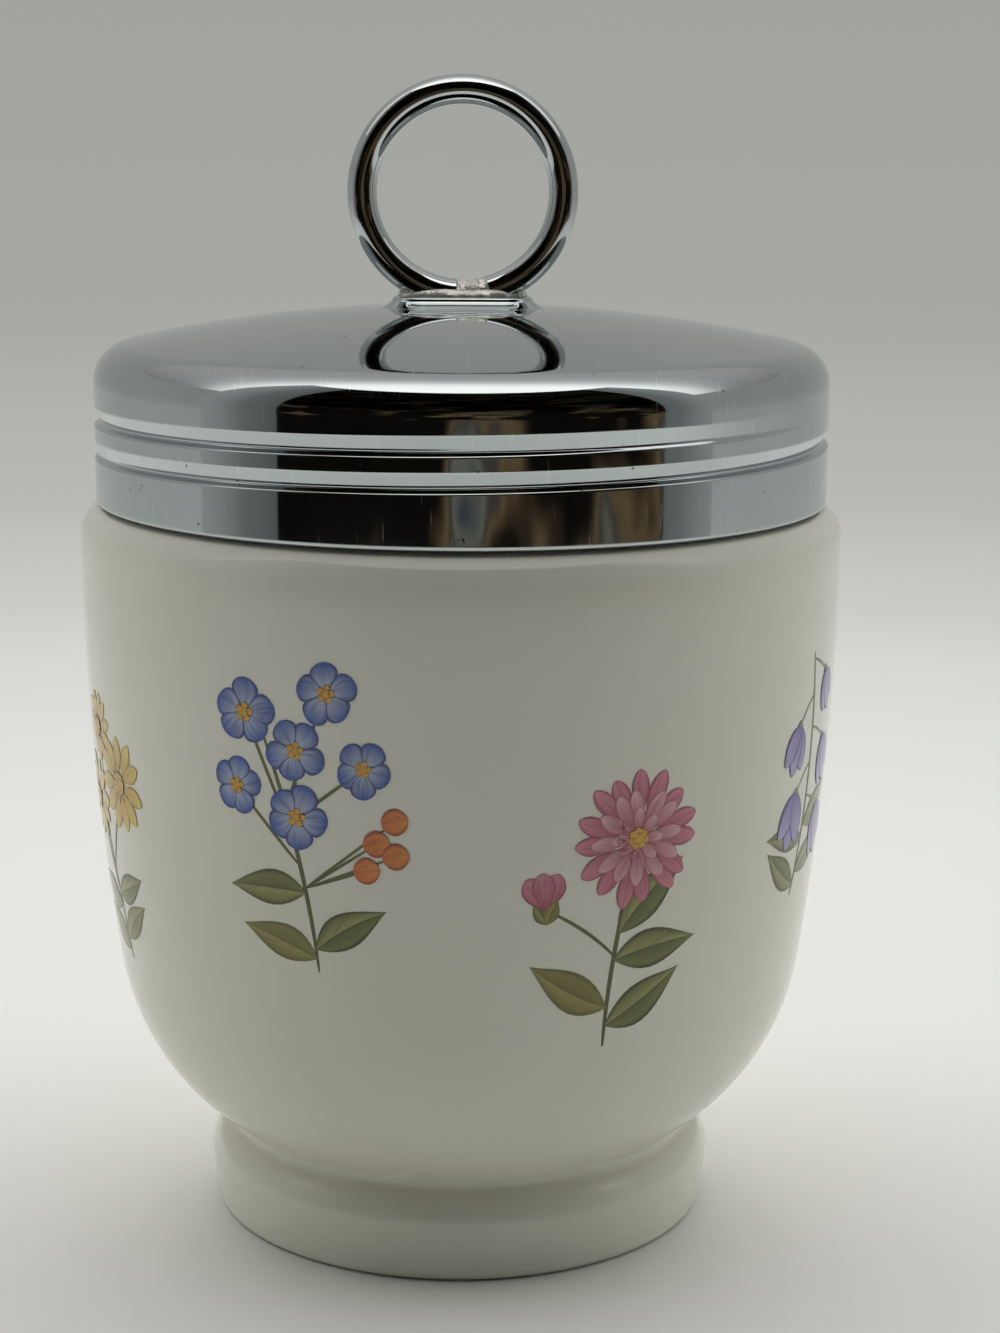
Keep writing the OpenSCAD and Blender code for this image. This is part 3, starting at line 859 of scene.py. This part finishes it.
def stalk_to(paint, start, x, y, breadth):
    """A straight stalk from a start point to x, y."""
    reach = math.hypot(x - start[0], y - start[1])
    aim = math.degrees(math.atan2(y - start[1], x - start[0]))
    paint("stem", *start, aim, reach, breadth)


def leaves(paint, stem, reach, breadth, places):
    """Leaves on a stem, each at a part of its length, with its own aim and bend."""
    for part, aim, bend in places:
        paint("leaf", *on_stem(*stem, part), aim, reach, breadth, bend)


def rosette(paint, kind, x, y, count, inner, reach, breadth, turn=0.0):
    """Petals set round a middle."""
    for i in range(count):
        aim = turn + 360.0 * i / count + dice.uniform(-4, 4)
        a = math.radians(aim)
        length = reach * dice.uniform(0.92, 1.08)
        bend = dice.uniform(-0.2, 0.2)
        paint(kind, x + inner * math.cos(a), y + inner * math.sin(a), aim, length, breadth, bend)


def eye(paint, x, y, radius, dots):
    """The stamens in a flower's middle: round dabs in a ring round one dab."""
    for i in range(dots):
        a = 2 * math.pi * i / dots
        spot_x, spot_y = x + radius * 0.62 * math.cos(a), y + radius * 0.62 * math.sin(a)
        paint("flower_eye", spot_x - radius * 0.35, spot_y, 0, radius * 0.7, radius * 0.35)
    paint("flower_eye", x - radius * 0.5, y, 0, radius, radius * 0.5)


def round_dab(paint, kind, x, y, radius):
    """A stroke as wide as it is long, round its middle."""
    paint(kind, x - radius, y, 0, 2 * radius, radius)


def star_blossom(paint, x, y, size, turn):
    """A small five-petalled blue blossom with a yellow eye."""
    rosette(paint, "blue_petal", x, y, 5, 0.30 * size, 1.75 * size, 0.92 * size, turn)
    eye(paint, x, y, 0.62 * size, 5)


def aster(paint, x, y, size):
    """A full pink flower: three rounds of narrow petals."""
    rosette(paint, "pink_petal", x, y, 15, 1.35 * size, 3.0 * size, 0.62 * size)
    rosette(paint, "pink_inner_petal", x, y, 12, 0.85 * size, 2.3 * size, 0.55 * size, 12)
    rosette(paint, "pink_inner_petal", x, y, 8, 0.35 * size, 1.5 * size, 0.42 * size, 5)
    eye(paint, x, y, 0.75 * size, 7)


def daisy(paint, x, y, size, turn):
    """A yellow flower with one round of petals."""
    rosette(paint, "yellow_petal", x, y, 11, 0.80 * size, 2.5 * size, 0.62 * size, turn)
    eye(paint, x, y, 0.85 * size, 8)


def bellflower(paint, x, y, aim, size):
    """A hanging bell of three petals under a small green cap."""
    a = math.radians(aim)
    for spread in (-24, 24, 0):
        paint("violet_petal", x, y, aim + spread, (4.3 if spread else 4.7) * size, 1.15 * size)
    paint("leaf", x - 0.5 * math.cos(a), y - 0.5 * math.sin(a), aim, 1.5 * size, 0.55 * size)


def star_sprig(paint):
    """Blue star blossoms over orange berries."""
    stem = (-1.0, -10.5, 86, 17.0, 2.4)
    paint("stem", *stem[:4], 0.17, stem[4])
    places = ((-5.0, 3.0), (0.1, 5.2), (-3.4, 8.0), (4.8, 3.6), (3.0, 8.9), (-0.6, 0.6))
    for i, (x, y) in enumerate(places):
        stalk_to(paint, on_stem(*stem, 0.45 + 0.06 * i), x, y, 0.12)
        star_blossom(paint, x, y, 1.0 + 0.08 * (i % 3), 40.0 * i)
    for x, y in ((4.9, -1.6), (6.4, -0.2), (6.1, -2.6), (3.9, -3.4)):
        stalk_to(paint, on_stem(*stem, 0.36), x, y, 0.10)
        round_dab(paint, "berry", x, y, 0.95)
    leaves(paint, stem, 6.2, 1.3, ((0.06, 146, 0.9), (0.10, 30, -0.8), (0.34, 166, 0.8)))


def aster_sprig(paint):
    """A pink aster with its bud."""
    stem = (1.6, -11.0, 98, 13.5, -1.6)
    paint("stem", *stem[:4], 0.18, stem[4])
    aster(paint, 1.2, 4.2, 1.12)
    side = (*on_stem(*stem, 0.5), 142, 6.4, 1.2)
    paint("stem", *side[:4], 0.13, side[4])
    x, y = on_stem(*side, 1.0)
    for spread in (-26, 26, 0):
        paint("pink_petal", x, y, 105 + spread, 2.7, 0.85)
    paint("leaf", x + 0.3, y - 1.0, 128, 2.0, 0.6, 0.1)
    paint("leaf", x + 0.2, y - 1.0, 78, 2.0, 0.6, -0.1)
    leaves(paint, stem, 7.0, 1.45, ((0.12, 32, 0.9), (0.22, 165, -0.9), (0.48, 20, -0.6), (0.62, 60, -0.9)))


def daisy_sprig(paint):
    """Three yellow daisies on one stalk."""
    stem = (-0.4, -9.5, 94, 12.0, 1.0)
    paint("stem", *stem[:4], 0.16, stem[4])
    for i, (x, y, size) in enumerate(((-3.6, 3.0, 1.0), (3.2, 4.6, 1.15), (-0.8, 8.6, 0.85))):
        stalk_to(paint, on_stem(*stem, 0.45 + 0.15 * i), x, y, 0.13)
        daisy(paint, x, y, size, 17.0 * i)
    leaves(paint, stem, 5.8, 1.2, ((0.06, 140, 0.9), (0.14, 40, -0.9), (0.36, 168, -0.8), (0.44, 8, 0.8)))


def bell_sprig(paint):
    """Bellflowers that hang from an arching stalk."""
    stem = (-3.2, -10.0, 72, 19.0, 4.2)
    paint("stem", *stem[:4], 0.17, stem[4])
    for i, part in enumerate((0.42, 0.56, 0.70, 0.83, 0.97)):
        x, y = on_stem(*stem, part)
        aim, reach, bend, hang = (-18, 3.4, -0.6, -72) if i % 2 == 0 else (205, 3.2, 0.6, -108)
        paint("stem", x, y, aim, reach, 0.11, bend)
        bellflower(paint, *on_stem(x, y, aim, reach, bend, 1.0), hang, 1.02 - 0.06 * i)
    leaves(paint, stem, 6.4, 1.2, ((0.05, 150, -0.9), (0.10, 22, -0.9), (0.24, 158, 0.9), (0.30, 10, 0.9)))


# Eight sprigs round the cup, high and low by turns: azimuth from the front, height, tilt, size.
LAYOUT = [
    (star_sprig, -22, 43, 8, 1.2), (aster_sprig, 22, 37, -8, 1.2),
    (bell_sprig, 67, 44, 4, 1.12), (daisy_sprig, 112, 37, -6, 1.15),
    (star_sprig, 157, 43, -10, 1.2), (aster_sprig, 202, 37, 9, 1.2),
    (bell_sprig, 247, 44, -4, 1.12), (daisy_sprig, 293, 37, 6, 1.15),
]
for motif, azimuth, middle, tilt, size in LAYOUT:
    motif(sprig_brush(azimuth, middle, tilt, size))

FINISHES = {
    "stem": petal_colour("stem_green", (0.10, 0.10, 0.03), (0.16, 0.17, 0.05), (0.07, 0.07, 0.02)),
    "leaf": leaf_colour(),
    "blue_petal": petal_colour("petal_blue", (0.55, 0.62, 0.74), (0.06, 0.12, 0.42), (0.012, 0.03, 0.19)),
    "pink_petal": petal_colour("petal_pink", (0.36, 0.07, 0.11), (0.66, 0.26, 0.32), (0.32, 0.05, 0.10)),
    "pink_inner_petal": petal_colour(
        "petal_pale_pink", (0.34, 0.05, 0.09), (0.76, 0.44, 0.46), (0.38, 0.08, 0.13)),
    "yellow_petal": petal_colour(
        "petal_yellow", (0.56, 0.30, 0.03), (0.76, 0.58, 0.12), (0.36, 0.22, 0.03)),
    "violet_petal": petal_colour(
        "petal_violet", (0.14, 0.10, 0.36), (0.42, 0.38, 0.66), (0.07, 0.04, 0.24)),
    "berry": petal_colour("berry_orange", (0.62, 0.15, 0.03), (0.72, 0.27, 0.06), (0.30, 0.05, 0.02)),
    "flower_eye": petal_colour("eye_ochre", (0.60, 0.28, 0.04), (0.78, 0.50, 0.08), (0.28, 0.10, 0.02)),
}


def painted_points(kind):
    """One point for each stroke of a kind, with the stroke's measures stored on it."""
    strokes = painted[kind]
    mesh = bpy.data.meshes.new(kind + "_points")
    mesh.from_pydata([(0, 0, 0)] * len(strokes), [], [])
    for label in strokes[0]:
        values = mesh.attributes.new(label, "FLOAT", "POINT")
        values.data.foreach_set("value", [stroke[label] for stroke in strokes])
    return mesh


LONG_KINDS = ("stem", "leaf")
strokes_tree = brush_stroke_tree()
for kind, (fullness, bluntness, _) in KINDS.items():
    art = shaped("painted_" + kind, strokes_tree, painted_points(kind), {
        "Cup": cup, "Cup Radius": CUP_R * MM, "Fullness": fullness, "Bluntness": bluntness,
        "Columns": 5, "Rows": 17 if kind in LONG_KINDS else 11,
        "Sink": SHEET_SINK * MM, "Thickness": SHEET_THICK * MM, "Finish": FINISHES[kind]})
    art.data.set_sharp_from_angle(angle=SHARP)
    dressed(art, None, "cup")


# ---- Floor, room and lights, in metres ----
SWEEP_FLAT_R = 0.9
SWEEP_ROUND = 0.5
SWEEP_WALL_TOP = 1.2


def sweep():
    """A pale round sweep: a flat floor that curves up far away on every side."""
    profile = [(r, 0.0) for r in (0.0, 0.1, 0.2, 0.3, 0.5, 0.7)]
    profile += arc(SWEEP_FLAT_R, SWEEP_ROUND, SWEEP_ROUND, -90, 0, 6)
    profile += [(SWEEP_FLAT_R + SWEEP_ROUND, SWEEP_WALL_TOP)]
    points, sides = [], 96
    for r, z in profile:
        for j in range(sides):
            a = 2 * math.pi * j / sides
            points.append((r * math.cos(a), r * math.sin(a), z))
    floor = finish_mesh("pale_sweep", points, quads(len(profile), sides))
    if floor.data.polygons[0].normal.z < 0:
        floor.data.flip_normals()

    made, tree, shader = material("pale_sweep")
    feed(tree, shader, {
        "Base Color": (0.865, 0.87, 0.835, 1), "Roughness": 0.9, "Specular IOR Level": 0.1})
    far = add(tree, "ShaderNodeVectorMath", {0: own_place(tree)}, operation="LENGTH").outputs["Value"]
    # Painted light: seen by the camera and mirrored in the metal, the sweep past 5 to 20 cm from the cup
    # glows with these tones, darker with distance, in place of lamp light; nearer the cup the lamps light
    # it and the cup's shadow stays.
    tones = [(0.06, 0.78), (0.12, 0.77), (0.20, 0.735), (0.25, 0.695), (0.31, 0.605),
             (0.46, 0.490), (0.72, 0.440), (1.0, 0.395), (1.4, 0.358)]
    reach = 1.5
    stops = [(r / reach, (0.995 * tone, tone, 0.955 * tone)) for r, tone in tones]
    toned = ramp(tree, calc(tree, "DIVIDE", far, reach), stops)
    glow = output_of(tree, "ShaderNodeEmission", {"Color": toned})
    path = add(tree, "ShaderNodeLightPath").outputs
    seen = calc(tree, "MAXIMUM", path["Is Camera Ray"], path["Is Glossy Ray"])
    share = calc(tree, "MULTIPLY", seen, between(tree, far, 0.05, 0.20))
    shows(tree, output_of(tree, "ShaderNodeMixShader", {0: share, 1: shader.outputs[0], 2: glow}))
    floor.data.materials.append(made)


def dim_room():
    """What the front of the bright lid mirrors: a dim room behind the camera, paler at both ends."""
    radius, strip = 0.36, 2.5
    left_wing, left, right, right_wing = -82.0, -54.0, 60.0, 77.0
    heights = [0.001, 0.1, 0.2, 0.3, 0.45, 0.6, 0.745]
    strips = round((right_wing - left_wing) / strip)
    points, wings = [], []
    for i in range(strips + 1):
        a = math.radians(-90 + left_wing + strip * i)
        points += [(radius * math.cos(a), radius * math.sin(a), z) for z in heights]
    for i in range(strips):
        turned = left_wing + strip * (i + 0.5)
        wings += [0 if left < turned < right else 1] * (len(heights) - 1)
    card = finish_mesh("dim_room", points, quads(strips + 1, len(heights), ring=False))
    dark, tree, _ = material("dim_room")
    blocks = moved(tree, Scale=(1.0, 1.0, 2.4))
    colour = ramp(tree, noise_of(tree, scale=9.0, detail=2.0, coords=blocks), [
        (0.0, (0.002, 0.002, 0.003)), (0.51, (0.006, 0.005, 0.004)), (0.56, (0.05, 0.032, 0.018)),
        (0.61, (0.15, 0.10, 0.05)), (0.65, (0.05, 0.045, 0.04)), (0.70, (0.16, 0.15, 0.12)),
        (0.76, (0.03, 0.04, 0.06))])
    glows(tree, colour, between(tree, own_xyz(tree)["Z"], 0.09, 0.20, 1.0, 0.1))
    paler, tree, _ = material("dim_room_wing")
    aside = between(tree, calc(tree, "ABSOLUTE", own_xyz(tree)["X"]), 0.29, radius)
    glows(tree, ramp(tree, aside, [
        (0.0, (0.12, 0.125, 0.12)), (0.55, (0.19, 0.195, 0.19)), (0.95, (0.38, 0.39, 0.37))]))
    card.data.materials.append(dark)
    card.data.materials.append(paler)
    card.data.polygons.foreach_set("material_index", wings)
    card.visible_camera = False
    card.visible_shadow = False


def ceiling_seen():
    """What the rounded edge of the lid mirrors: a pale ceiling, brightest towards the camera."""
    half_width, front, back, height = 1.2, -0.40, 0.95, 0.748
    corners = [(-half_width, front, height), (half_width, front, height),
               (half_width, back, height), (-half_width, back, height)]
    card = finish_mesh("ceiling_seen", corners, [(0, 1, 2, 3)])
    made, tree, _ = material("ceiling_seen")
    place = own_xyz(tree)
    tones = [(-0.34, 1.75), (-0.10, 1.65), (0.0, 1.25), (0.08, 0.85),
             (0.18, 0.62), (0.32, 0.50), (0.9, 0.42)]
    stops = [((y - front) / (back - front), (1.04 * tone, tone, 0.97 * tone)) for y, tone in tones]
    colour = ramp(tree, between(tree, place["Y"], front, back), stops)
    glows(tree, colour, between(tree, calc(tree, "ABSOLUTE", place["X"]), 0.45, half_width, 1.0, 0.65))
    card.data.materials.append(made)
    card.visible_camera = False
    card.visible_diffuse = False
    card.visible_shadow = False


def softbox(name, place, target, width, height, radiance):
    """An area lamp that metal doesn't mirror, of a given brightness per unit of its face."""
    lamp = bpy.data.lights.new(name, "AREA")
    lamp.shape = "RECTANGLE"
    lamp.size, lamp.size_y = width, height
    lamp.energy = radiance * math.pi * width * height
    holder = in_scene(name, lamp)
    holder.location = place
    holder.rotation_euler = (Vector(target) - Vector(place)).to_track_quat("-Z", "Y").to_euler()
    holder.visible_glossy = False


sweep()
dim_room()
ceiling_seen()
softbox("ceiling", (0.0, -0.02, 0.75), (0.0, -0.02, 0.0), 1.3, 0.64, 1.15)
softbox("ceiling_back", (0.0, 0.56, 0.75), (0.0, 0.56, 0.0), 1.3, 0.52, 0.8)
softbox("window_back", (0.0, 0.95, 0.55), (0.0, 0.0, 0.03), 1.3, 0.6, 1.0)
softbox("side_left", (-0.95, 0.25, 0.50), (0, 0, 0.04), 0.9, 0.6, 0.8)
softbox("side_right", (0.95, 0.25, 0.50), (0, 0, 0.04), 0.9, 0.6, 0.9)

world = bpy.data.worlds.new("room")
bpy.context.scene.world = world
world.use_nodes = True
feed(world.node_tree, world.node_tree.nodes["Background"], {
    "Color": (0.30, 0.303, 0.295, 1), "Strength": 1.0})

# ---- Camera, as the photograph was taken: in metres and radians ----
PHOTO_HEIGHT_PX = 1333
FOCAL_PX = 2684
SENSOR_MM = 36.0
CAMERA_PLACE = (0.0, -0.2392, 0.0988)
PITCH_DOWN = 0.2021
YAW = 0.0147
ROLL = 0.0062
camera_data = bpy.data.cameras.new("camera")
camera_data.sensor_fit = "VERTICAL"
camera_data.sensor_height = SENSOR_MM
camera_data.lens = SENSOR_MM * FOCAL_PX / PHOTO_HEIGHT_PX
camera_data.clip_start = 0.01
camera = in_scene("camera", camera_data)
camera.location = CAMERA_PLACE
forward = Vector((math.sin(YAW) * math.cos(PITCH_DOWN), math.cos(YAW) * math.cos(PITCH_DOWN),
                  -math.sin(PITCH_DOWN)))
level = forward.to_track_quat("-Z", "Y").to_matrix().to_4x4()
camera.rotation_euler = (level @ Matrix.Rotation(ROLL, 4, "Z")).to_euler()
bpy.context.scene.camera = camera
bpy.context.scene.view_settings.view_transform = "Standard"
